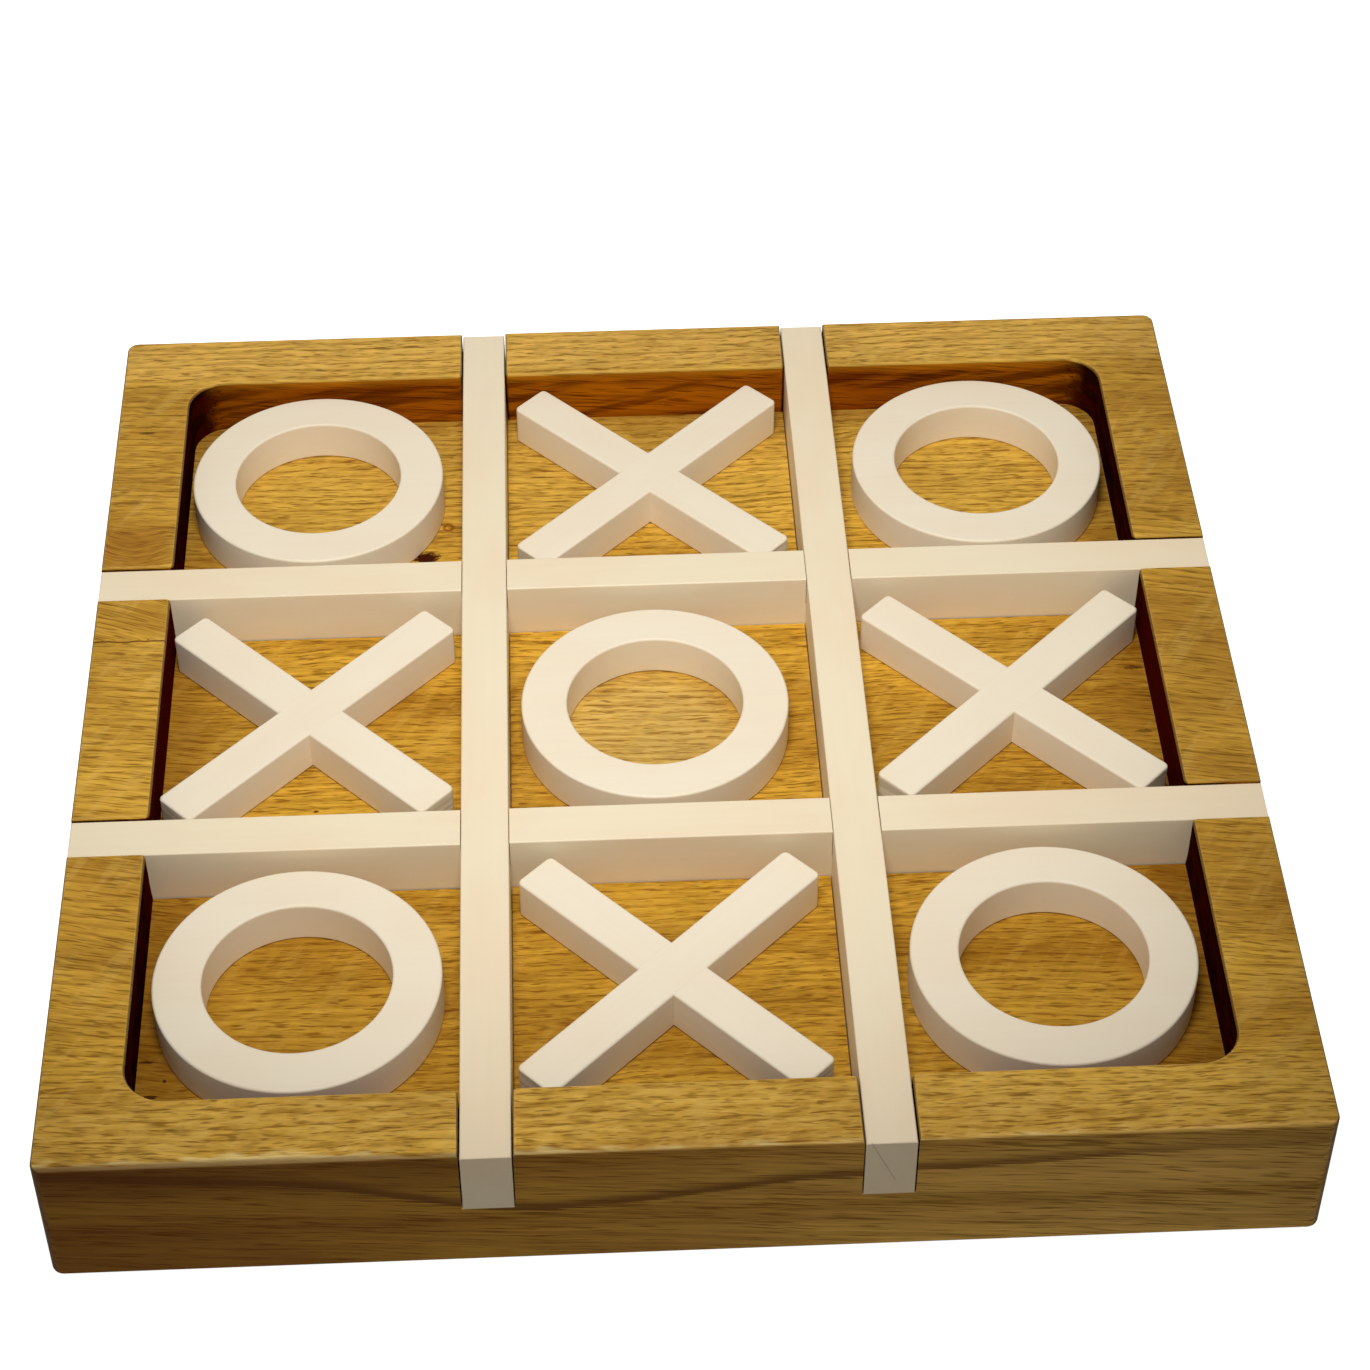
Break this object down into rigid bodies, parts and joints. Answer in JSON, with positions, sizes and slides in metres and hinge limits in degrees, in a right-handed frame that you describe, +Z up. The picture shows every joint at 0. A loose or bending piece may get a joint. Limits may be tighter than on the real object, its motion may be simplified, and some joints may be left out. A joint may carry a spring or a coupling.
{
  "type": "tic-tac-toe game",
  "caption": "Wooden tic-tac-toe game: square milled oak tray, inlaid painted bars that divide it into cells, and loose painted rings and crosses that lie in them.",
  "frame": {"origin": "centre of the tray's base", "axes": "+Z up out of the pocket, -Y the front edge in the picture, +X to the right"},
  "size_m": [0.3, 0.3, 0.04],
  "materials": {
    "oiled_oak": "planed, sanded and oiled oak",
    "bar_paint": "cream satin paint on wood",
    "piece_paint": "warm white satin paint on wood"
  },
  "bodies": {
    "board": {"board": "oiled_oak", "grid_bar_left": "bar_paint", "grid_bar_right": "bar_paint", "grid_bar_front": "bar_paint", "grid_bar_back": "bar_paint"},
    "ring_back_left": {"ring_back_left": "piece_paint"},
    "ring_back_right": {"ring_back_right": "piece_paint"},
    "ring_centre": {"ring_centre": "piece_paint"},
    "ring_front_left": {"ring_front_left": "piece_paint"},
    "ring_front_right": {"ring_front_right": "piece_paint"},
    "cross_back": {"cross_back_upper": "piece_paint", "cross_back_lower": "piece_paint"},
    "cross_left": {"cross_left_upper": "piece_paint", "cross_left_lower": "piece_paint"},
    "cross_right": {"cross_right_upper": "piece_paint", "cross_right_lower": "piece_paint"},
    "cross_front": {"cross_front_upper": "piece_paint", "cross_front_lower": "piece_paint"}
  },
  "joints": [
    {"name": "lift_ring_back_left", "type": "slide", "parent": "board", "child": "ring_back_left", "axis": [0, 0, 1], "range_m": [0, 0.04]},
    {"name": "lift_ring_back_right", "type": "slide", "parent": "board", "child": "ring_back_right", "axis": [0, 0, 1], "range_m": [0, 0.04]},
    {"name": "lift_ring_centre", "type": "slide", "parent": "board", "child": "ring_centre", "axis": [0, 0, 1], "range_m": [0, 0.04]},
    {"name": "lift_ring_front_left", "type": "slide", "parent": "board", "child": "ring_front_left", "axis": [0, 0, 1], "range_m": [0, 0.04]},
    {"name": "lift_ring_front_right", "type": "slide", "parent": "board", "child": "ring_front_right", "axis": [0, 0, 1], "range_m": [0, 0.04]},
    {"name": "lift_cross_back", "type": "slide", "parent": "board", "child": "cross_back", "axis": [0, 0, 1], "range_m": [0, 0.04]},
    {"name": "lift_cross_left", "type": "slide", "parent": "board", "child": "cross_left", "axis": [0, 0, 1], "range_m": [0, 0.04]},
    {"name": "lift_cross_right", "type": "slide", "parent": "board", "child": "cross_right", "axis": [0, 0, 1], "range_m": [0, 0.04]},
    {"name": "lift_cross_front", "type": "slide", "parent": "board", "child": "cross_front", "axis": [0, 0, 1], "range_m": [0, 0.04]}
  ]
}
